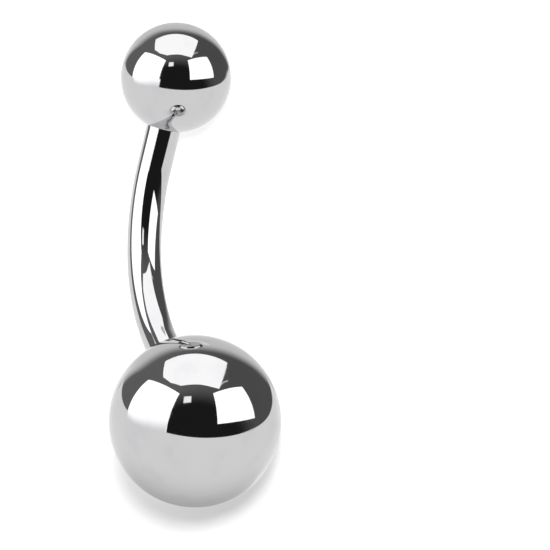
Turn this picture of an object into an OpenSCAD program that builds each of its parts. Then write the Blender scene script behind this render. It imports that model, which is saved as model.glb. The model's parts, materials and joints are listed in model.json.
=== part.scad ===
// Curved barbell navel ring, lying on a flat surface: a bent bar with a threaded post at each end
// and a round ball screwed onto each post. Sizes are in millimetres.
// The surface is z = 0, the ring lies along Y with the small ball towards +Y, and it rests on
// both balls and on the outside of the bend.

/* [Bar] */
// Diameter of the bar
bar_d = 1.6; // [1.2:0.1:2]
// Length of the bar along its curve, from shoulder to shoulder
bar_l = 12.6; // [11:0.2:14]
// Angle that the bar turns through from end to end
bar_bend = 60; // [48:1:68]
// Straight stretch of the bar beside the bottom ball
lower_straight = 1.6; // [0.5:0.1:2.5]
// Straight stretch of the bar beside the top ball
upper_straight = 1.9; // [1:0.1:3]
// Thickness that truing the straight stretches takes off their radius
end_relief = 0.004; // [0.002:0.001:0.008]

/* [Balls] */
// Diameter of the bottom ball
bottom_ball_d = 8; // [6.5:0.5:10]
// Diameter of the top ball
top_ball_d = 5.2; // [4:0.2:6]
// Depth that the end of the bar sinks into each ball
seat_depth = 0.08; // [0.04:0.01:0.2]

/* [Thread] */
// Width of the shoulder between the bar and each threaded post
shoulder_w = 0.1; // [0.05:0.05:0.2]
// Length of each threaded post
post_l = 2.2; // [1.6:0.1:2.6]
// Distance from one thread to the next
thread_pitch = 0.35; // [0.25:0.05:0.5]
// Depth of the thread
thread_depth = 0.16; // [0.08:0.02:0.24]

/* [Fit] */
// Gap round the end of the bar in its seat
seat_side_gap = 0.03; // [0.02:0.01:0.06]
// Gap between the shoulder and the floor of its seat
seat_end_gap = 0.02; // [0.01:0.01:0.05]
// Gap between the thread and the wall of its hole
thread_gap = 0.03; // [0.02:0.01:0.06]
// Space left in the hole past the tip of the post
hole_spare = 0.2; // [0.1:0.05:0.3]

/* [Hidden] */
steel = [0.78, 0.78, 0.79];
curve_facets = 96;

// The ring's own plane: the arc's centre is the origin, the bend bulges towards -X, and the
// bottom ball is at -Z.
bar_r = bar_d / 2;
half_bend = bar_bend / 2;
arc_l = bar_l - lower_straight - upper_straight;
arc_r = arc_l / (bar_bend * PI / 180);
post_r = bar_r - shoulder_w;
seat_r = bar_r + seat_side_gap;
straight_r = bar_r - end_relief;
hole_r = post_r + thread_gap;
end_grip = 0.1 * bar_r;

// Unit vectors that point out of the two ends of the bar, and the ends themselves
lower_out = [sin(half_bend), 0, -cos(half_bend)];
upper_out = [sin(half_bend), 0, cos(half_bend)];
lower_end = arc_r * [-cos(half_bend), 0, -sin(half_bend)] + lower_straight * lower_out;
upper_end = arc_r * [-cos(half_bend), 0, sin(half_bend)] + upper_straight * upper_out;

// Distance from a ball's centre to the floor of its seat, and to the end of the bar
function seat_floor(ball_d) = sqrt(pow(ball_d / 2, 2) - pow(seat_r, 2)) - seat_depth;
function ball_reach(ball_d) = seat_floor(ball_d) + seat_end_gap;
bottom_centre = lower_end + ball_reach(bottom_ball_d) * lower_out;
top_centre = upper_end + ball_reach(top_ball_d) * upper_out;

// How the ring lies. The direction that points straight up from the surface has to put each
// ball's centre one radius above the surface. The lowest point of the bend then either touches
// it too, and the ring leans over, or hangs clear above it.
bottom_r = bottom_ball_d / 2;
top_r = top_ball_d / 2;
between = bottom_centre - top_centre;
balance = (bottom_r - top_r) * bottom_centre - (bottom_r - bar_r) * between;
function heading(angle) = [cos(angle), 0, sin(angle)];
function slope_angle(v) = atan2(v[2], v[0]);
leaning_way = heading(slope_angle(balance)
    - acos(-(bottom_r - top_r) * arc_r / norm(balance)));
upright_way = heading(slope_angle(between) + acos((bottom_r - top_r) / norm(between)));
in_plane = (bottom_r - bar_r) / (bottom_centre * leaning_way + arc_r);
up = in_plane < 1
    ? in_plane * leaning_way - [0, sqrt(1 - pow(in_plane, 2)), 0]
    : upright_way;

// The ring's axes once it lies down, and where its middle goes
along_raw = -between + (between * up) * up;
along = along_raw / norm(along_raw);
across = cross(along, up);
middle_along = ((top_centre * along + top_r) + (bottom_centre * along - bottom_r)) / 2;
shift = [-bottom_centre * across, -middle_along, bottom_r - bottom_centre * up];

module laid_down() {
    multmatrix([
        [across[0], across[1], across[2], shift[0]],
        [along[0], along[1], along[2], shift[1]],
        [up[0], up[1], up[2], shift[2]],
        [0, 0, 0, 1]])
        children();
}

// Places a child at an end of the bar, with +Z pointing out of it
module at_lower_end() {
    translate(lower_end) rotate([0, 180 - half_bend, 0]) children();
}

module at_upper_end() {
    translate(upper_end) rotate([0, half_bend, 0]) children();
}

// A straight end of the bar and its threaded post, in the frame of that end: a stack of V ridges
// that keep the thread's pitch. The straight part reaches a little way into the bend.
module threaded_end(straight_l) {
    root_r = post_r - thread_depth;
    ridge_count = floor(post_l / thread_pitch) - 1;
    first_z = post_l - (ridge_count + 0.5) * thread_pitch;
    ridges = [for (i = [0 : ridge_count - 1], at_crest = [0, 1])
        [at_crest == 1 ? post_r : root_r, first_z + (i + at_crest / 2) * thread_pitch]];
    rotate_extrude($fn = curve_facets)
        polygon(concat(
            [[0, -straight_l - end_grip], [straight_r, -straight_l - end_grip]],
            [[straight_r, 0], [root_r, 0]],
            ridges,
            [[root_r, post_l - thread_pitch / 2], [root_r, post_l], [0, post_l]]));
}

module bend() {
    rotate([90, 0, 0]) rotate([0, 0, 180 - half_bend])
        rotate_extrude(angle = bar_bend, $fn = curve_facets)
        translate([arc_r, 0]) circle(r = bar_r);
}

module bar() {
    color(steel) laid_down() {
        union() {
            bend();
            at_lower_end() threaded_end(lower_straight);
            at_upper_end() threaded_end(upper_straight);
        }
    }
}

// A ball with its blind hole and seat, in the frame of the end of the bar
module screw_ball(ball_d) {
    difference() {
        translate([0, 0, ball_reach(ball_d)]) sphere(d = ball_d, $fn = curve_facets);
        translate([0, 0, seat_end_gap - bar_d])
            cylinder(r = seat_r, h = bar_d, $fn = curve_facets);
        cylinder(r = hole_r, h = post_l + hole_spare, $fn = curve_facets);
    }
}

module bottom_ball() {
    color(steel) laid_down() at_lower_end() screw_ball(bottom_ball_d);
}

module top_ball() {
    color(steel) laid_down() at_upper_end() screw_ball(top_ball_d);
}

bar();
bottom_ball();
top_ball();
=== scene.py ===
"""A navel ring: a curved bar of surgical steel, threaded at both ends, with a ball screwed on each.

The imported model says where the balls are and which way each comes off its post. The fine meshes
here are worked out from that and from the real sizes, so they lie exactly where the solids lie.
The ring lies on a light table with three softboxes round it, and the camera looks down on it.
"""

import json
import math
from collections import namedtuple

import bmesh
import bpy
from bpy.props import FloatProperty, FloatVectorProperty, IntProperty, PointerProperty
from mathutils import Matrix, Vector


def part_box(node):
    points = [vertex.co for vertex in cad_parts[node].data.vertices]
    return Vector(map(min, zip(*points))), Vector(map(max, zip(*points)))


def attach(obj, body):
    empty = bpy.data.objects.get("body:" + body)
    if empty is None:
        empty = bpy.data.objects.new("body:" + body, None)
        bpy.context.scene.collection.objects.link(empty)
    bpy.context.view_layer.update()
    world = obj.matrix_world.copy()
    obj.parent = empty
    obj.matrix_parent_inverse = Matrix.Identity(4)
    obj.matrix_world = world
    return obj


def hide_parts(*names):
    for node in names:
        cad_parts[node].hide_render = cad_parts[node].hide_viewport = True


bl_info = {
    "name": "Navel Ring",
    "version": (1, 0, 0),
    "blender": (4, 5, 0),
    "location": "3D View > Sidebar > Navel Ring",
    "description": "Builds a mirror-polished curved barbell with two screw-on balls",
    "category": "Add Mesh",
}

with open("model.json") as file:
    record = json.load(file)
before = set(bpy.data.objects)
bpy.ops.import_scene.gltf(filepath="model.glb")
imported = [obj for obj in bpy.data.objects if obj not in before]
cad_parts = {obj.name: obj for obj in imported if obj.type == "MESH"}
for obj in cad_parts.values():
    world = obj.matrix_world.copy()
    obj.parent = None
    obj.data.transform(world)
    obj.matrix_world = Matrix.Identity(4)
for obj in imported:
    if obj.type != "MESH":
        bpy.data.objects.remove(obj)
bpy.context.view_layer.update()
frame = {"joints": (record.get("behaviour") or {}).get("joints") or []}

MM = 0.001
MICRON = 0.001 * MM
BAR, BOTTOM_BALL, TOP_BALL = "bar", "bottom_ball", "top_ball"

# The photograph's frame, the middle of the ring in it, and its scale there
PHOTO_PX = 550
RING_MIDDLE_PX = (185.4, 247.9)
PX_PER_MM = 21.45

# Which finish a band of a mesh takes
POLISHED, CUT = 0, 1
# The map of a mesh that lays its skin out flat
LAY_MAP = "Lay"

# How finely the meshes are cut: a length along the bar, two arcs in radians, and the rows to one
# turn of the thread
BAR_STEP = 0.05 * MM
SHOULDER_STEP = 0.35
MOUTH_STEP = 0.3
ROWS_PER_THREAD = 18
# An edge that turns by more than this stays sharp
SHARP_EDGE = math.radians(40)
# Where the flank of a thread begins and ends, from the middle of a crest at 0 to that of a root at 1
THREAD_FLANK = (0.125, 0.875)
# The slope of the point that a twist drill leaves at the bottom of a hole
DRILL_SLOPE = math.radians(31)

# A ball's middle and radius, and the way it comes off the bar
Ball = namedtuple("Ball", "centre radius outward")
# A ring of points in a skin, how far along the skin it is, how far it is round it, and its finish
Row = namedtuple("Row", "points along around finish")


def linear(hex_value):
    """An sRGB hex colour as linear red, green and blue."""
    channels = [int(hex_value[i : i + 2], 16) / 255 for i in (0, 2, 4)]
    return tuple(c / 12.92 if c <= 0.04045 else ((c + 0.055) / 1.055) ** 2.4 for c in channels)


def length(name, description, millimetres):
    """A size in the panel, kept in metres."""
    return FloatProperty(
        name=name, description=description, default=millimetres * MM, min=0, unit="LENGTH", precision=5
    )


def colour(name, description, hex_value):
    """A colour in the panel."""
    return FloatVectorProperty(
        name=name, description=description, default=linear(hex_value), size=3, min=0, max=1, subtype="COLOR"
    )


def brightness(name, description, value):
    """How bright a thing in the studio is, where 1 is the white of the tent."""
    return FloatProperty(name=name, description=description, default=value, min=0, soft_max=2 * value)


def angle(name, description, degrees):
    """An angle in the panel, kept in radians."""
    return FloatProperty(name=name, description=description, default=math.radians(degrees), subtype="ANGLE")


class NavelRingBar(bpy.types.PropertyGroup):
    diameter: length("Diameter", "Thickness of the bar, 14 gauge", 1.6)
    lower_straight: length("Lower straight", "Straight stretch beside the bottom ball", 1.6)
    upper_straight: length("Upper straight", "Straight stretch beside the top ball", 1.9)
    edge_round: length("Edge round", "Rounding of the shoulder that seats in a ball", 0.03)


class NavelRingBall(bpy.types.PropertyGroup):
    seat_gap: length("Seat gap", "Gap round the end of the bar in its seat", 0.03)
    seat_depth: length("Seat depth", "Depth of the seat below the ball's surface", 0.08)
    end_gap: length("End gap", "Gap between the shoulder and the floor of the seat", 0.02)
    mouth_round: length("Mouth round", "Rounding that polishing leaves on the mouth of the seat", 0.03)
    hole_radius: length("Hole radius", "Radius of the hole, clear of the crests of the post", 0.73)
    hole_depth: length("Hole depth", "Depth of the hole below the floor of the seat", 2.38)


class NavelRingThread(bpy.types.PropertyGroup):
    pitch: length("Pitch", "Distance from one thread to the next", 0.35)
    depth: length("Depth", "Height of the thread on the post", 0.16)
    groove: length("Groove", "Depth of the thread in the wall of the hole", 0.07)
    crest_radius: length("Crest radius", "Radius over the crests of the post", 0.7)
    post: length("Post", "Length of the threaded post", 2.2)
    neck: length("Neck", "Plain neck between the shoulder and the thread", 0.2)
    lead: length("Lead", "Bevel on the tip of the post and the mouth of the hole", 0.08)


class NavelRingFinish(bpy.types.PropertyGroup):
    steel: colour("Steel", "Mirror-polished surgical steel", "CCCCCD")
    haze: colour("Haze", "Steel under the faint haze of handling", "C7C7C9")
    cut_steel: colour("Cut steel", "Steel as the threading tool leaves it", "B4B3B0")
    roundness: IntProperty(name="Roundness", description="Facets round a ball", default=192, min=48)
    bar_roundness: IntProperty(name="Bar roundness", description="Facets round the bar", default=120, min=32)


class NavelRingStudio(bpy.types.PropertyGroup):
    azimuth: angle("Azimuth", "Where the camera stands round the ring", 39.4)
    elevation: angle("Elevation", "Height of the camera over the table", 68.8)
    roll: angle("Roll", "Turn of the camera about its own view", -45.75)
    distance: length("Distance", "From the camera to the ring", 400)
    sensor: FloatProperty(name="Sensor", description="Width of the sensor, in millimetres", default=36)
    table: colour("Table", "Opal sheet of the light table", "898989")
    table_light: brightness("Table light", "Light up through the table, under the top ball", 0.77)
    foot_light: brightness("Foot light", "Light up through the table, under the bottom ball", 0.42)
    key: brightness("Key", "Lamp beside the camera that lights the table alone", 125)
    tent: brightness("Tent", "White walls round the table", 1.0)
    wall: brightness("Wall", "Far wall of the tent, beyond the roof", 0.78)
    top_box: brightness("Top softbox", "Softbox over the top ball", 1.55)
    side_boxes: brightness("Side softboxes", "Softboxes to the left and the right", 2.0)
    lamp: brightness("Lamp", "Small lamp between the softboxes", 1.4)
    spill: brightness("Spill", "Light of the left softbox on the edge of the front card", 1.7)
    glint: brightness("Glint", "Gap in the cloth between two softboxes", 0.8)
    roof: colour("Roof", "Black cloth round the camera, as the steel shows it", "181817")
    roof_left: colour("Roof left", "The same cloth to the left, where light spills on it", "5A5957")
    roof_right: colour("Roof right", "The same cloth to the right, a little darker", "474747")


class NavelRing(bpy.types.PropertyGroup):
    bar: PointerProperty(type=NavelRingBar)
    ball: PointerProperty(type=NavelRingBall)
    thread: PointerProperty(type=NavelRingThread)
    finish: PointerProperty(type=NavelRingFinish)
    studio: PointerProperty(type=NavelRingStudio)


# Where the pieces are, from the frame


def find_ball(node):
    """A ball's centre and radius from its CAD solid, and the way it comes off from its joint."""
    low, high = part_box(node)
    joint = next(j for j in frame["joints"] if j["child"] == node)
    return Ball((low + high) / 2, (high.z - low.z) / 2, Vector(joint["axis"]).normalized())


BALLS = {node: find_ball(node) for node in (BOTTOM_BALL, TOP_BALL)}
RING_MIDDLE = (BALLS[BOTTOM_BALL].centre + BALLS[TOP_BALL].centre) / 2


def seat_radius(ring):
    """Radius of the seat that takes the end of the bar."""
    return ring.bar.diameter / 2 + ring.ball.seat_gap


def seat_floor(ball, ring):
    """Distance from a ball's centre to the floor of its seat."""
    return math.sqrt(ball.radius**2 - seat_radius(ring) ** 2) - ring.ball.seat_depth


def bar_end(ball, ring):
    """The middle of the shoulder that seats in a ball."""
    return ball.centre - (seat_floor(ball, ring) + ring.ball.end_gap) * ball.outward


class BarLine:
    """The middle line of the bar from the bottom ball to the top one: straight, arc, straight.
    Beyond its ends it runs on straight, along the posts."""

    def __init__(self, ring):
        lower, upper = BALLS[BOTTOM_BALL], BALLS[TOP_BALL]
        self.before = ring.bar.lower_straight
        self.start_way = -lower.outward
        self.arc_start = bar_end(lower, ring) + self.before * self.start_way
        arc_end = bar_end(upper, ring) - ring.bar.upper_straight * upper.outward
        self.turn = self.start_way.angle(upper.outward)
        self.radius = (arc_end - self.arc_start).length / (2 * math.sin(self.turn / 2))
        self.arc = self.radius * self.turn
        self.length = self.before + self.arc + ring.bar.upper_straight
        across = upper.outward - upper.outward.dot(self.start_way) * self.start_way
        self.start_in = across.normalized()
        self.side = self.start_way.cross(self.start_in)

    def at(self, along):
        """The point that far along the line, and the way into the bend there."""
        on_arc = min(max(along - self.before, 0), self.arc)
        turned = on_arc / self.radius
        sine, cosine = math.sin(turned), math.cos(turned)
        ahead = cosine * self.start_way + sine * self.start_in
        inward = cosine * self.start_in - sine * self.start_way
        point = self.arc_start + self.radius * (sine * self.start_way + (1 - cosine) * self.start_in)
        return point + (along - self.before - on_arc) * ahead, inward


# Meshes


def smooth_step(low, high, value):
    """0 below low, 1 above high and a smooth ramp between them."""
    share = min(max((value - low) / (high - low), 0), 1)
    return share * share * (3 - 2 * share)


def steps(start, end, longest):
    """Even steps from start to end, none longer than longest, both ends in."""
    count = max(1, math.ceil(abs(end - start) / longest))
    return [start + (end - start) * i / count for i in range(count + 1)]


def thread_form(turns):
    """Height of a thread at a place counted in turns, from 0 at a root to 1 at a crest.
    The flats take an eighth of the pitch each, and the flanks run smoothly between them."""
    from_crest = abs(2 * (turns % 1) - 1)
    return 1 - smooth_step(*THREAD_FLANK, from_crest)


def skin_of_rows(name, rows, materials):
    """A closed mesh through rings of points, each row joined to the next. A row of one point
    closes an end. Its Lay map gives each corner's distance round and along, in metres."""
    build = bmesh.new()
    lay = build.loops.layers.uv.new(LAY_MAP)
    rings = [[build.verts.new(point) for point in row.points] for row in rows]
    for i in range(1, len(rows)):
        before, after = rings[i - 1], rings[i]
        count = max(len(before), len(after))
        for j in range(count):
            # A row of one point keeps one corner of the four, so its faces are triangles
            corners = [(i - 1, j), (i - 1, j + 1), (i, j + 1), (i, j)]
            corners = [c for n, c in enumerate(corners) if len(rings[c[0]]) > 1 or n in (0, 3)]
            face = build.faces.new([rings[r][c % len(rings[r])] for r, c in corners])
            face.smooth = True
            face.material_index = rows[i].finish
            for loop, (r, c) in zip(face.loops, corners):
                loop[lay].uv = (rows[r].around * c / count, rows[r].along)
    bmesh.ops.recalc_face_normals(build, faces=build.faces)
    mesh = bpy.data.meshes.new(name)
    build.to_mesh(mesh)
    build.free()
    for material in materials:
        mesh.materials.append(material)
    mesh.set_sharp_from_angle(angle=SHARP_EDGE)
    return mesh


def add_piece(mesh, body):
    """Shows a mesh as the piece that stands for the CAD node of the same name."""
    piece = bpy.data.objects.new(f"polished_{body}", mesh)
    bpy.context.scene.collection.objects.link(piece)
    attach(piece, body)
    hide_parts(body)
    return piece


def post_rows(ring):
    """The end of the bar outwards from its shoulder: distance, radius, height of thread, finish."""
    thread, bar = ring.thread, ring.bar
    root = thread.crest_radius - thread.depth
    rows = [(0, bar.diameter / 2 - bar.edge_round, 0, CUT), (0, root, 0, CUT)]
    bevel = thread.post - thread.lead
    run_in, run_out = thread.neck + thread.pitch, thread.post - thread.pitch
    for out in steps(0, bevel, thread.pitch / ROWS_PER_THREAD)[1:]:
        grown = smooth_step(thread.neck, run_in, out) * (1 - smooth_step(run_out, bevel, out))
        rows.append((out, root, thread.depth * grown, CUT))
    rows.append((thread.post, root - thread.lead, 0, CUT))
    rows.append((thread.post, 0, 0, CUT))
    return rows


def bar_profile(line, ring):
    """The whole bar from one tip to the other, as post_rows gives its ends."""
    radius, edge = ring.bar.diameter / 2, ring.bar.edge_round
    post = post_rows(ring)
    corner = [
        (edge * (1 - math.cos(a)), radius - edge * (1 - math.sin(a)))
        for a in steps(0, math.pi / 2, SHOULDER_STEP)
    ]
    rows = [(-out, r, ridge, finish) for out, r, ridge, finish in reversed(post)]
    rows += [(out, r, 0, POLISHED) for out, r in corner[1:]]
    rows += [(along, radius, 0, POLISHED) for along in steps(edge, line.length - edge, BAR_STEP)[1:]]
    rows += [(line.length - out, r, 0, POLISHED) for out, r in reversed(corner[:-1])]
    rows += [(line.length + out, r, ridge, finish) for out, r, ridge, finish in post[1:]]
    return rows


def bar_mesh(ring, materials):
    """The bar swept along its middle line, with a right-hand thread on both posts."""
    line = BarLine(ring)
    count = ring.finish.bar_roundness
    rows = []
    for along, radius, ridge, finish in bar_profile(line, ring):
        point, inward = line.at(along)
        points = [point]
        if radius:
            points = []
            for i in range(count):
                turn = i / count
                out = radius + ridge * thread_form(along / ring.thread.pitch - turn)
                way = math.cos(math.tau * turn) * inward + math.sin(math.tau * turn) * line.side
                points.append(point + out * way)
        rows.append(Row(points, along, math.tau * max(radius, ring.bar.edge_round), finish))
    return skin_of_rows(BAR, rows, materials)


def ball_profile(ball, ring):
    """A ball outwards along its own axis, from the pole away from the bar to the tip of the drill:
    height over the centre, radius, depth of groove, finish."""
    sizes, thread = ring.ball, ring.thread
    seat, curve = seat_radius(ring), sizes.mouth_round
    curve_at = Vector((seat + curve, 0))
    curve_at.y = math.sqrt((ball.radius - curve) ** 2 - curve_at.x**2)
    mouth = math.atan2(curve_at.x, curve_at.y)
    facet = math.tau / ring.finish.roundness
    rows = [(-ball.radius, 0, 0, POLISHED)]
    for a in steps(math.pi, mouth, facet)[1:]:
        rows.append((ball.radius * math.cos(a), ball.radius * math.sin(a), 0, POLISHED))
    for a in steps(mouth, -math.pi / 2, MOUTH_STEP)[1:]:
        rows.append((curve_at.y + curve * math.cos(a), curve_at.x + curve * math.sin(a), 0, POLISHED))
    floor = seat_floor(ball, ring)
    rows.append((floor, seat, 0, CUT))
    rows.append((floor, sizes.hole_radius + thread.lead / 2, 0, CUT))
    full, bottom = floor - thread.lead, floor - sizes.hole_depth
    for height in steps(floor - thread.lead / 2, bottom, thread.pitch / ROWS_PER_THREAD):
        grown = smooth_step(floor, full, height) * smooth_step(bottom, bottom + thread.pitch, height)
        rows.append((height, sizes.hole_radius, thread.groove * grown, CUT))
    drill_point = sizes.hole_radius * math.tan(DRILL_SLOPE)
    rows.append((bottom - drill_point, 0, 0, CUT))
    return rows


def ball_mesh(node, ring, materials):
    """A ball turned about the axis that it screws along, its hole towards the bar."""
    ball = BALLS[node]
    towards_bar = -ball.outward
    across = towards_bar.orthogonal().normalized()
    side = towards_bar.cross(across)
    count = ring.finish.roundness
    rows = []
    run = 0
    last = Vector((0, 0))
    for height, radius, groove, finish in ball_profile(ball, ring):
        middle = ball.centre + height * towards_bar
        points = [middle]
        if radius:
            points = []
            for i in range(count):
                turn = i / count
                out = radius + groove * thread_form(height / ring.thread.pitch - turn)
                way = math.cos(math.tau * turn) * across + math.sin(math.tau * turn) * side
                points.append(middle + out * way)
        run += (Vector((height, radius)) - last).length if rows else 0
        last = Vector((height, radius))
        rows.append(Row(points, run, math.tau * radius, finish))
    return skin_of_rows(node, rows, materials)


# Materials


# A flat map has no third way, so the spacing of a pattern along it makes no difference
NO_DEPTH = 1.0
# Buffing wheels leave soft waves. The noise that draws them keeps to about the middle half of its
# range, so that they come out under half a micron deep
WAVES = (2 * MM, 2 * MM, 2 * MM)
WAVE_DEPTH = 0.8 * MICRON
# Buffing hairlines are about 5 microns apart, drawn ten times coarser so that they show at all
BALL_HAIRLINES = (0.05 * MM, 0.4 * MM, 0.05 * MM)
BAR_HAIRLINES = (0.05 * MM, 1.5 * MM, NO_DEPTH)
HAIRLINE_DEPTH = 0.02 * MICRON
# The smears of handling, and the values of their noise between which the haze sets in
SMEARS = (1.3 * MM, 1.3 * MM, 1.3 * MM)
HAZE_FROM, HAZE_FULL = 0.45, 0.75
MIRROR_ROUGHNESS, HAZE_ROUGHNESS = 0.03, 0.075
# Tool marks are 10 microns apart, drawn at 30 so that they show, and the values of their noise that
# count as the bottom and the top of a mark
TOOL_MARKS = (2 * MM, 0.03 * MM, NO_DEPTH)
TOOL_MARK_DEPTH = 0.6 * MICRON
MARK_LOW, MARK_HIGH = 0.3, 0.7
CUT_SMOOTHEST, CUT_ROUGHEST = 0.18, 0.34
# Between these places along the ring the light table turns from its dimmer to its brighter light
DIM_TABLE_END, BRIGHT_TABLE_END = -12 * MM, -4 * MM
# The name that a sheet's mesh keeps its light under
GLOW = "glow"


def add_node(tree, kind, settings=None, **links):
    """Adds a node. Settings are its own choices; the rest are its inputs by name, with _ for a
    space, or by number after a _, each a constant or another node's output."""
    node = tree.nodes.new(kind)
    for name, value in (settings or {}).items():
        setattr(node, name, value)
    for name, value in links.items():
        socket = node.inputs[int(name[1:])] if name[1:].isdigit() else node.inputs[name.replace("_", " ")]
        if isinstance(value, bpy.types.NodeSocket):
            tree.links.new(value, socket)
        else:
            socket.default_value = value
    return node


def new_material(name):
    """An empty node material and its tree."""
    material = bpy.data.materials.new(name)
    material.use_nodes = True
    material.node_tree.nodes.clear()
    return material, material.node_tree


def pattern(tree, source, spacing, detail=2.0):
    """Noise whose marks lie that far apart, in metres, along each of the three ways."""
    scale = tuple(1 / s for s in spacing)
    spread = add_node(tree, "ShaderNodeVectorMath", {"operation": "MULTIPLY"}, _0=source, _1=scale)
    noise = add_node(tree, "ShaderNodeTexNoise", Vector=spread.outputs[0], Scale=1.0, Detail=detail)
    return noise.outputs["Fac"]


def buffed_steel(name, finish, hairlines, hairline_map):
    """316L surgical steel, buffed to a mirror. The eye gets sharp, slightly wavy reflections, with
    a breath of haze in places and hairlines that show only along the edges of bright things."""
    material, tree = new_material(name)
    place = add_node(tree, "ShaderNodeTexCoord").outputs["Object"]
    source = place
    if hairline_map:
        source = add_node(tree, "ShaderNodeUVMap", {"uv_map": hairline_map}).outputs["UV"]
    waves = pattern(tree, place, WAVES, detail=0.0)
    lines = pattern(tree, source, hairlines)
    wavy = add_node(tree, "ShaderNodeBump", Height=waves, Distance=WAVE_DEPTH, Strength=1.0).outputs["Normal"]
    lined = add_node(
        tree, "ShaderNodeBump", Height=lines, Distance=HAIRLINE_DEPTH, Strength=1.0, Normal=wavy
    ).outputs["Normal"]
    smears = pattern(tree, place, SMEARS, detail=3.0)
    haze = add_node(
        tree, "ShaderNodeMapRange", {"interpolation_type": "SMOOTHSTEP"},
        Value=smears, From_Min=HAZE_FROM, From_Max=HAZE_FULL, To_Min=0.0, To_Max=1.0,
    ).outputs["Result"]
    # Colours go into this node at its inputs 6 and 7 and come out at its output 2
    tint = add_node(
        tree, "ShaderNodeMix", {"data_type": "RGBA"}, _0=haze, _6=(*finish.steel, 1), _7=(*finish.haze, 1)
    ).outputs[2]
    rough = add_node(
        tree, "ShaderNodeMapRange",
        Value=haze, From_Min=0.0, From_Max=1.0, To_Min=MIRROR_ROUGHNESS, To_Max=HAZE_ROUGHNESS,
    ).outputs["Result"]
    steel = add_node(
        tree, "ShaderNodeBsdfPrincipled", Base_Color=tint, Metallic=1.0, Roughness=rough, Normal=lined
    )
    add_node(tree, "ShaderNodeOutputMaterial", Surface=steel.outputs["BSDF"])
    return material


def ball_steel(finish):
    """Mirror-buffed ball: buffed the same way all over, so its hairlines lie along the ring."""
    return buffed_steel("mirror_buffed_316L_ball", finish, BALL_HAIRLINES, None)


def bar_steel(finish):
    """Mirror-buffed bar: buffed lengthwise, so its hairlines run along it."""
    return buffed_steel("mirror_buffed_316L_bar", finish, BAR_HAIRLINES, LAY_MAP)


def thread_steel(finish):
    """316L steel as the threading die and the drill leave it: bright but satin, with fine rings
    round it from the tool, and a little darker than the polished faces."""
    material, tree = new_material("die_cut_316L_thread")
    lay = add_node(tree, "ShaderNodeUVMap", {"uv_map": LAY_MAP}).outputs["UV"]
    marks = pattern(tree, lay, TOOL_MARKS)
    rough = add_node(
        tree, "ShaderNodeMapRange",
        Value=marks, From_Min=MARK_LOW, From_Max=MARK_HIGH, To_Min=CUT_SMOOTHEST, To_Max=CUT_ROUGHEST,
    ).outputs["Result"]
    marked = add_node(tree, "ShaderNodeBump", Height=marks, Distance=TOOL_MARK_DEPTH, Strength=1.0)
    steel = add_node(
        tree, "ShaderNodeBsdfPrincipled", Base_Color=(*finish.cut_steel, 1), Metallic=1.0, Roughness=rough,
        Normal=marked.outputs["Normal"],
    )
    add_node(tree, "ShaderNodeOutputMaterial", Surface=steel.outputs["BSDF"])
    return material


def opal_table(studio):
    """Opal acrylic sheet, cast and lit from below: a clean white with no grain and almost no
    gloss. It glows by itself, so shadows on it are faint: faintest under the top ball, where the
    glow is strongest, and a little darker under the bottom ball."""
    material, tree = new_material("cast_opal_acrylic_table")
    place = add_node(tree, "ShaderNodeTexCoord").outputs["Object"]
    along = add_node(tree, "ShaderNodeSeparateXYZ", Vector=place).outputs["Y"]
    light = add_node(
        tree, "ShaderNodeMapRange", {"interpolation_type": "SMOOTHSTEP"},
        Value=along, From_Min=DIM_TABLE_END, From_Max=BRIGHT_TABLE_END,
        To_Min=studio.foot_light, To_Max=studio.table_light,
    ).outputs["Result"]
    sheet = add_node(
        tree, "ShaderNodeBsdfPrincipled", Base_Color=(*studio.table, 1), Roughness=0.6,
        Specular_IOR_Level=0.2, Emission_Color=(1, 1, 1, 1), Emission_Strength=light,
    )
    add_node(tree, "ShaderNodeOutputMaterial", Surface=sheet.outputs["BSDF"])
    return material


def lit_cloth():
    """Diffusing cloth of the softboxes, cards and roof: it sends out the light stored on its mesh."""
    material, tree = new_material("woven_diffuser_cloth")
    glow = add_node(tree, "ShaderNodeAttribute", {"attribute_name": GLOW}).outputs["Fac"]
    light = add_node(tree, "ShaderNodeEmission", Strength=glow)
    add_node(tree, "ShaderNodeOutputMaterial", Surface=light.outputs["Emission"])
    return material


# Studio


# The sheets of light, the black cloth and the far wall are placed by where they show in the bottom
# ball, as shares of the ball's radius to the right of its middle and up from it. A corner that
# shows at (0.3, 0.4) is put where its reflection falls there.

# Sheets of light: how far off they are and their lower and upper edges, from left to right
Sheet = namedtuple("Sheet", "name distance foot head")
BOX_DISTANCE = 300 * MM
TOP_SOFTBOX = Sheet(
    "top_softbox", BOX_DISTANCE,
    ((-0.366, 0.504), (-0.28, 0.44), (-0.16, 0.405), (0.05, 0.42), (0.18, 0.395), (0.277, 0.369)),
    ((-0.34, 0.69), (0.372, 0.672)),
)
LEFT_SOFTBOX = Sheet(
    "left_softbox", BOX_DISTANCE, ((-0.80, -0.03), (-0.34, -0.22)), ((-0.535, 0.476), (-0.178, 0.315)),
)
RIGHT_SOFTBOX = Sheet(
    "right_softbox", BOX_DISTANCE, ((0.26, -0.035), (0.69, 0.035)), ((0.21, 0.318), (0.542, 0.394)),
)
LAMP = Sheet("lamp", BOX_DISTANCE, ((-0.14, 0.20), (-0.04, 0.21)), ((-0.13, 0.285), (-0.035, 0.29)))
# The share of the lamp over which its light fades at each edge
LAMP_FADE = 0.12
GLINT = Sheet(
    "glint", BOX_DISTANCE,
    ((0.282, 0.375), (0.30, 0.41), (0.335, 0.44), (0.38, 0.455)),
    ((0.270, 0.38), (0.288, 0.42), (0.325, 0.452), (0.38, 0.47)),
)
# The key lights the table alone, so its place is chosen for the shadow that the ring throws
KEY = Sheet("key", 280 * MM, ((-0.055, 0.07), (0.055, 0.07)), ((-0.055, 0.18), (0.055, 0.18)))
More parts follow.
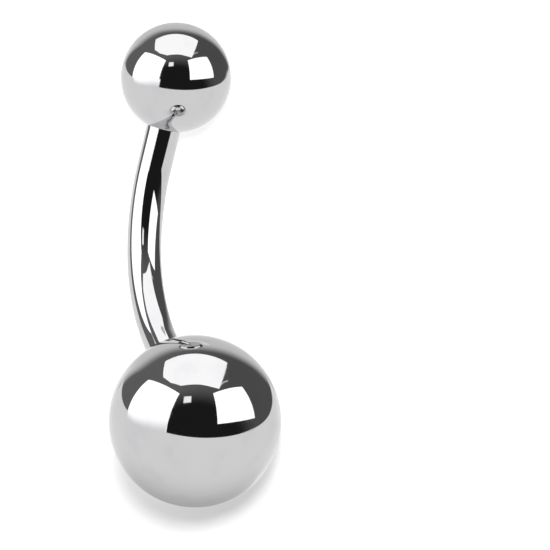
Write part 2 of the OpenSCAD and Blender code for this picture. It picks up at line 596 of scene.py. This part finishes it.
# Where the light of the left softbox falls on the edge of the front card and fades down it
SPILL = Sheet(
    "spill", 100 * MM,
    ((-0.79, 0.03), (-0.70, -0.05), (-0.60, -0.09), (-0.50, -0.115), (-0.40, -0.13), (-0.34, -0.14)),
    ((-0.765, 0.14), (-0.70, 0.08), (-0.60, 0.05), (-0.50, 0.04), (-0.40, 0.035), (-0.298, 0.03)),
)
SOFTBOX_CELLS = (30, 16)

# The edge of the black cloth, and how soft it is as a share of its distance from the middle
Edge = namedtuple("Edge", "x y soft")
ROOF_DISTANCE = 400 * MM
ROOF_MIDDLE = Vector((0.0, 0.30))
ROOF_EDGE = (
    Edge(0.91, 0.18, 0.015), Edge(0.92, 0.29, 0.015), Edge(0.88, 0.40, 0.025), Edge(0.803, 0.51, 0.045),
    Edge(0.693, 0.62, 0.06), Edge(0.528, 0.724, 0.08), Edge(0.32, 0.805, 0.09), Edge(0.05, 0.845, 0.09),
    Edge(-0.21, 0.83, 0.09), Edge(-0.366, 0.785, 0.09), Edge(-0.504, 0.71, 0.09), Edge(-0.641, 0.607, 0.08),
    Edge(-0.76, 0.52, 0.05), Edge(-0.845, 0.42, 0.03), Edge(-0.885, 0.318, 0.02), Edge(-0.885, 0.20, 0.02),
    Edge(-0.85, 0.05, 0.02), Edge(-0.65, -0.25, 0.02), Edge(-0.35, -0.42, 0.02), Edge(0.0, -0.45, 0.02),
    Edge(0.35, -0.42, 0.02), Edge(0.65, -0.27, 0.02), Edge(0.87, 0.0, 0.015),
)
ROOF_CELLS = (138, 64)
# The blackest part of the cloth, a dome round the camera, and between which shares of its reach
# the cloth turns from black to grey
BLACK_MIDDLE = (0.0, -0.25)
BLACK_REACH = (0.72, 0.60)
BLACK_FADE = (0.72, 1.08)
# Between which places across the ball the left grey turns into the right one
GREY_FADE = (-0.4, 0.5)

CARD_DISTANCE = 110 * MM
# The way that is up from the plane through the card's top edge: right, up and towards the camera
CARD_UP = (0.079, 0.934, 0.346)
# How far it goes round to the left and to the right of the camera, in degrees, and the turns
# between which its top edge dips to its ends, with the depth of that dip
CARD_TURN = (-146, 155)
CARD_DIP_TURN = (70, 120)
CARD_DIP = 2.5 * MM
# How far it curves down from its top edge, in degrees round the ball
CARD_DROP = 45
CARD_CELLS = (120, 6)

# The far wall, behind the roof: how far off it is, and where it runs on the ball, in degrees round
# it and as shares of its radius
WALL_DISTANCE = 430 * MM
WALL_TURN = (22, 150)
WALL_REACH = (0.80, 0.985)
# The share of the wall at each end over which it brightens to the white of the tent
WALL_FADE = 0.15
WALL_CELLS = (60, 12)

# Painted contact shadows, dim patches where a ball meets something white: how much wider than long
# they are, how much darker their middle is, and how far they spread, as a share of the ball's radius
Shade = namedtuple("Shade", "stretch depth reach")
CARD_SHADE = Shade(1.35, 0.65, 0.70)
TABLE_SHADE = Shade(1.0, 0.7, 0.5)
# A shade ends at this many times its reach, where next to nothing is left of it
SHADE_END = 2.5
SHADE_CELLS = (48, 24)

# Half the width of the light table, in metres, and the squares across it
TABLE_REACH = 2.0
TABLE_SQUARES = 8
# The camera sees nothing nearer than this
NEAREST_SEEN = 10 * MM


def view_axes(studio):
    """The ways to the right, up and back towards the camera, in the photograph."""
    azimuth, elevation, roll = studio.azimuth, studio.elevation, studio.roll
    back = Vector((
        math.cos(elevation) * math.sin(azimuth), -math.cos(elevation) * math.cos(azimuth), math.sin(elevation)
    ))
    level = Vector((math.cos(azimuth), math.sin(azimuth), 0))
    over = back.cross(level)
    right = math.cos(roll) * level + math.sin(roll) * over
    up = math.cos(roll) * over - math.sin(roll) * level
    return right, up, back


def camera_place(studio):
    """Where the camera stands."""
    return RING_MIDDLE + studio.distance * view_axes(studio)[2]


def mirrored(studio, spot, distance):
    """The place that far from the bottom ball whose reflection falls at a spot of its face."""
    ball = BALLS[BOTTOM_BALL]
    _, up, _ = view_axes(studio)
    towards = (camera_place(studio) - ball.centre).normalized()
    right = up.cross(towards).normalized()
    x, y = spot
    normal = x * right + y * towards.cross(right) + math.sqrt(1 - x * x - y * y) * towards
    return ball.centre + ball.radius * normal + distance * (2 * normal.dot(towards) * normal - towards)


def add_sheet(name, material, cells, place, glow):
    """A sheet that shows only in reflections and in the light it gives. place and glow give each
    point and its brightness from two shares, across and up, and cells is how finely it is cut."""
    columns, rows = cells
    shares = [(i / columns, j / rows) for j in range(rows + 1) for i in range(columns + 1)]
    wide = columns + 1
    corners = [i + j * wide for j in range(rows) for i in range(columns)]
    faces = [(c, c + 1, c + 1 + wide, c + wide) for c in corners]
    mesh = bpy.data.meshes.new(name)
    mesh.from_pydata([place(u, v) for u, v in shares], [], faces)
    mesh.attributes.new(GLOW, "FLOAT", "POINT").data.foreach_set("value", [glow(u, v) for u, v in shares])
    mesh.materials.append(material)
    sheet = bpy.data.objects.new(name, mesh)
    bpy.context.scene.collection.objects.link(sheet)
    sheet.visible_camera = False
    return sheet


def mix(ends, share):
    """The value at a share of the way from one end to the other."""
    return ends[0] + (ends[1] - ends[0]) * share


def on_line(points, share):
    """The point at a share of the way along a line through points."""
    place = share * (len(points) - 1)
    before = min(int(place), len(points) - 2)
    return points[before].lerp(points[before + 1], place - before)


def on_loop(points, share):
    """The point at a share of the way round a smooth closed curve through points."""
    whole, part = divmod(share * len(points), 1)
    a, b, c, d = (Vector(points[(int(whole) + k) % len(points)]) for k in (-1, 0, 1, 2))
    bend = part * (2 * a - 5 * b + 4 * c - d + part * (3 * (b - c) + d - a))
    return b + 0.5 * part * (c - a + bend)


def add_softbox(sheet, material, studio, level, foot_level=None, fade=None):
    """A sheet of light between two edges. Its foot may have a level of its own, or else its light
    may fade out over a share of it at each edge."""
    foot = [mirrored(studio, spot, sheet.distance) for spot in sheet.foot]
    head = [mirrored(studio, spot, sheet.distance) for spot in sheet.head]

    def place(u, v):
        return on_line(foot, u).lerp(on_line(head, u), v)

    def glow(u, v):
        if foot_level is not None:
            return foot_level + (level - foot_level) * smooth_step(0, 1, v)
        if fade is not None:
            return level * smooth_step(0, fade, min(u, 1 - u)) * smooth_step(0, fade, min(v, 1 - v))
        return level

    return add_sheet(sheet.name, material, SOFTBOX_CELLS, place, glow)


def grey_of(tint):
    """The mean of a colour's red, green and blue."""
    return sum(tint) / 3


def add_roof(material, studio):
    """Black cloth hung over the ring, round the camera. It turns grey outwards and ends softly."""
    # Its colours are as the steel shows them, so the cloth itself is that much brighter
    steel = grey_of(bpy.context.scene.navel_ring.finish.steel)
    black, left, right = (grey_of(c) / steel for c in (studio.roof, studio.roof_left, studio.roof_right))

    def edge(u, v):
        """The spot at a share of the way out to the edge, and how far the cloth has ended there."""
        x, y, soft = on_loop(ROOF_EDGE, u)
        spot = ROOF_MIDDLE + (Vector((x, y)) - ROOF_MIDDLE) * v * (1 + soft)
        return spot, smooth_step((1 - soft) / (1 + soft), 1, v)

    def place(u, v):
        return mirrored(studio, edge(u, v)[0], ROOF_DISTANCE)

    def glow(u, v):
        spot, ended = edge(u, v)
        out = math.hypot(*((s - m) / r for s, m, r in zip(spot, BLACK_MIDDLE, BLACK_REACH)))
        grey = left + (right - left) * smooth_step(*GREY_FADE, spot.x)
        cloth = black + (grey - black) * smooth_step(*BLACK_FADE, out)
        return cloth + (studio.wall - cloth) * ended

    return add_sheet("roof", material, ROOF_CELLS, place, glow)


def card_axes(studio):
    """The way up from the plane of the front card's top edge, and in it the ways towards the
    camera and to the right."""
    right, up, back = view_axes(studio)
    card_up = (CARD_UP[0] * right + CARD_UP[1] * up + CARD_UP[2] * back).normalized()
    forward = (back - back.dot(card_up) * card_up).normalized()
    return card_up, forward, card_up.cross(forward)


def add_front_card(material, studio):
    """White card bent round the ring, its top edge level with the bottom ball in front."""
    card_up, forward, side = card_axes(studio)
    middle = BALLS[BOTTOM_BALL].centre

    def place(u, v):
        turn = mix(CARD_TURN, u)
        bearing, drop = math.radians(turn), math.radians(CARD_DROP * (1 - v))
        level = math.cos(bearing) * forward + math.sin(bearing) * side
        low = CARD_DISTANCE * math.sin(drop) + CARD_DIP * smooth_step(*CARD_DIP_TURN, abs(turn))
        return middle + CARD_DISTANCE * math.cos(drop) * level - low * card_up

    return add_sheet("front_card", material, CARD_CELLS, place, lambda u, v: studio.tent)


def add_far_wall(material, studio):
    """The wall of the tent beyond the roof, a little dimmer than the rest."""

    def place(u, v):
        turn, reach = math.radians(mix(WALL_TURN, u)), mix(WALL_REACH, v)
        return mirrored(studio, (reach * math.cos(turn), reach * math.sin(turn)), WALL_DISTANCE)

    def glow(u, _):
        return studio.tent + (studio.wall - studio.tent) * smooth_step(0, WALL_FADE, min(u, 1 - u))

    return add_sheet("far_wall", material, WALL_CELLS, place, glow)


def add_shade(name, material, studio, ball, up, side, shade):
    """The painted contact shadow that a ball mirrors where it meets a white surface, as a dim patch."""
    ahead = up.cross(side)
    middle = ball.centre - ball.radius * up
    spread = shade.reach * ball.radius

    def place(u, v):
        turn, out = math.tau * u, SHADE_END * v * spread
        return middle + out * (shade.stretch * math.cos(turn) * side + math.sin(turn) * ahead)

    def glow(_, v):
        return studio.tent * (1 - shade.depth * math.exp(-((SHADE_END * v) ** 2)))

    patch = add_sheet(name, material, SHADE_CELLS, place, glow)
    # Only the steel sees it. The surface that it lies on keeps its own light
    patch.visible_diffuse = False
    patch.visible_shadow = False
    return patch


def add_table(studio):
    """The light table, a wide flat sheet under the ring."""
    build = bmesh.new()
    bmesh.ops.create_grid(build, x_segments=TABLE_SQUARES, y_segments=TABLE_SQUARES, size=TABLE_REACH)
    mesh = bpy.data.meshes.new("light_table")
    build.to_mesh(mesh)
    build.free()
    mesh.materials.append(opal_table(studio))
    table = bpy.data.objects.new("light_table", mesh)
    bpy.context.scene.collection.objects.link(table)
    # The steel mirrors the white tent here, because the table would hide the lower softboxes
    table.visible_glossy = False
    return table


def add_tent(studio):
    """White walls all round: an even world of light."""
    world = bpy.data.worlds.new("white_tent")
    world.use_nodes = True
    world.node_tree.nodes.clear()
    walls = add_node(world.node_tree, "ShaderNodeBackground", Color=(1, 1, 1, 1), Strength=studio.tent)
    add_node(world.node_tree, "ShaderNodeOutputWorld", Surface=walls.outputs["Background"])
    bpy.context.scene.world = world


def add_camera(studio):
    """The camera at the photograph's angle, turned so that the ring sits where it does there."""
    right, up, _ = view_axes(studio)
    eye = camera_place(studio)
    half = PHOTO_PX / 2
    aside = (half - RING_MIDDLE_PX[0]) * right + (RING_MIDDLE_PX[1] - half) * up
    aim = RING_MIDDLE + aside * MM / PX_PER_MM
    back = (eye - aim).normalized()
    across = up.cross(back).normalized()
    turned = Matrix((across, back.cross(across), back)).transposed().to_4x4()
    camera = bpy.data.cameras.new("photo_camera")
    camera.sensor_width = studio.sensor
    camera.lens = studio.sensor * PX_PER_MM / MM * studio.distance / PHOTO_PX
    camera.clip_start = NEAREST_SEEN
    placed = bpy.data.objects.new("photo_camera", camera)
    placed.matrix_world = Matrix.Translation(eye) @ turned
    bpy.context.scene.collection.objects.link(placed)
    bpy.context.scene.camera = placed
    return placed


# Operators and panel


class NAVELRING_OT_add_bar(bpy.types.Operator):
    """Add the curved bar with its two threaded posts"""

    bl_idname = "navel_ring.add_bar"
    bl_label = "Add Bar"

    def execute(self, context):
        ring = context.scene.navel_ring
        mesh = bar_mesh(ring, [bar_steel(ring.finish), thread_steel(ring.finish)])
        add_piece(mesh, BAR)
        return {"FINISHED"}


class NAVELRING_OT_add_balls(bpy.types.Operator):
    """Add the two balls that screw onto the bar"""

    bl_idname = "navel_ring.add_balls"
    bl_label = "Add Balls"

    def execute(self, context):
        ring = context.scene.navel_ring
        finishes = [ball_steel(ring.finish), thread_steel(ring.finish)]
        for node in (BOTTOM_BALL, TOP_BALL):
            add_piece(ball_mesh(node, ring, finishes), node)
        return {"FINISHED"}


class NAVELRING_OT_add_studio(bpy.types.Operator):
    """Add the light table, the softboxes and the camera"""

    bl_idname = "navel_ring.add_studio"
    bl_label = "Add Studio"

    def execute(self, context):
        studio = context.scene.navel_ring.studio
        cloth = lit_cloth()
        add_table(studio)
        add_tent(studio)
        add_roof(cloth, studio)
        add_front_card(cloth, studio)
        add_softbox(TOP_SOFTBOX, cloth, studio, studio.top_box)
        add_softbox(LEFT_SOFTBOX, cloth, studio, studio.side_boxes)
        add_softbox(RIGHT_SOFTBOX, cloth, studio, studio.side_boxes)
        add_softbox(LAMP, cloth, studio, studio.lamp, fade=LAMP_FADE)
        add_softbox(GLINT, cloth, studio, studio.glint)
        add_softbox(SPILL, cloth, studio, studio.spill, foot_level=studio.tent)
        add_far_wall(cloth, studio)
        # The steel shows no lamp here. This one only throws the ring's soft shadow on the table
        add_softbox(KEY, cloth, studio, studio.key).visible_glossy = False
        # Painted contact shadows, for the bottom ball on the front card and for both balls on the table
        card_up, _, side = card_axes(studio)
        bottom, top = BALLS[BOTTOM_BALL], BALLS[TOP_BALL]
        add_shade("card_shade", cloth, studio, bottom, card_up, side, CARD_SHADE)
        up, across = Vector((0, 0, 1)), Vector((1, 0, 0))
        add_shade("bottom_shade", cloth, studio, bottom, up, across, TABLE_SHADE)
        add_shade("top_shade", cloth, studio, top, up, across, TABLE_SHADE)
        add_camera(studio)
        context.scene.view_settings.view_transform = "Standard"
        return {"FINISHED"}


class NAVELRING_PT_sizes(bpy.types.Panel):
    """Sizes, colours and steps of the navel ring"""

    bl_idname = "NAVELRING_PT_sizes"
    bl_label = "Navel Ring"
    bl_space_type = "VIEW_3D"
    bl_region_type = "UI"
    bl_category = "Navel Ring"

    def draw(self, context):
        ring = context.scene.navel_ring
        for group in (ring.bar, ring.ball, ring.thread, ring.finish, ring.studio):
            box = self.layout.box()
            for name in group.bl_rna.properties.keys():
                if name not in ("rna_type", "name"):
                    box.prop(group, name)
        for step in (NAVELRING_OT_add_studio, NAVELRING_OT_add_bar, NAVELRING_OT_add_balls):
            self.layout.operator(step.bl_idname)


CLASSES = (
    NavelRingBar,
    NavelRingBall,
    NavelRingThread,
    NavelRingFinish,
    NavelRingStudio,
    NavelRing,
    NAVELRING_OT_add_bar,
    NAVELRING_OT_add_balls,
    NAVELRING_OT_add_studio,
    NAVELRING_PT_sizes,
)


def register():
    for each in CLASSES:
        bpy.utils.register_class(each)
    bpy.types.Scene.navel_ring = PointerProperty(type=NavelRing)


def unregister():
    del bpy.types.Scene.navel_ring
    for each in reversed(CLASSES):
        bpy.utils.unregister_class(each)


def main():
    register()
    bpy.ops.navel_ring.add_studio()
    bpy.ops.navel_ring.add_bar()
    bpy.ops.navel_ring.add_balls()


if __name__ == "__main__":
    main()
